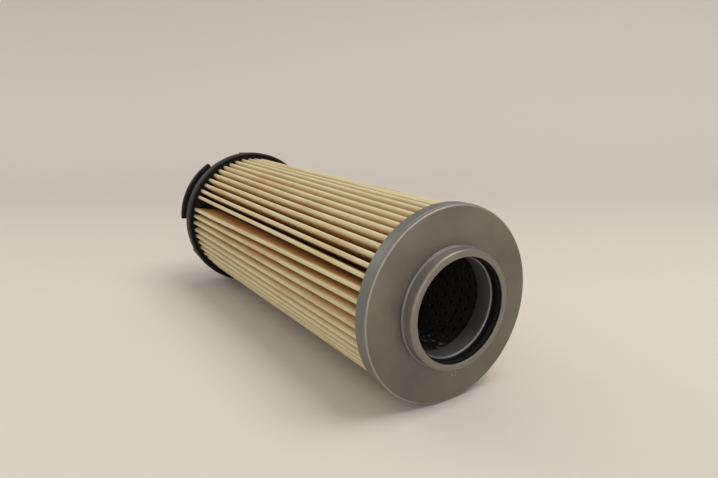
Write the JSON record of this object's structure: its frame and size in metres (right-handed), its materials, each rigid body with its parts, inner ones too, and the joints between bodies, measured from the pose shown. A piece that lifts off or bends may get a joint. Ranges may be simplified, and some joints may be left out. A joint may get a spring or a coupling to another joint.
{
  "type": "pleated filter element",
  "caption": "Cylindrical pleated filter element with a pressed steel outlet end and a closed bayonet end cap.",
  "frame": {"origin": "centre of the foot's underside, in the plane that the closed end's bayonet tabs stand on", "axes": "+Z along the element's axis, out of the open end"},
  "size_m": [0.0842, 0.0842, 0.2207],
  "materials": {
    "black_moulding": "matt moulded plastic",
    "potting": "cured black adhesive",
    "black_steel": "black coated perforated steel",
    "filter_paper": "resin impregnated paper",
    "grey_steel": "dull zinc plated sheet",
    "bright_steel": "plated sheet",
    "seal_rubber": "nitrile rubber",
    "collar_steel": "dull zinc plated sheet"
  },
  "bodies": {
    "root": {"far_end_cap": "black_moulding", "far_adhesive": "potting", "core_tube": "black_steel", "pleated_media": "filter_paper", "near_adhesive": "potting", "near_end_cap": "grey_steel", "guide_sleeve": "bright_steel", "seal_ring": "seal_rubber", "seal_collar": "collar_steel"}
  },
  "joints": []
}
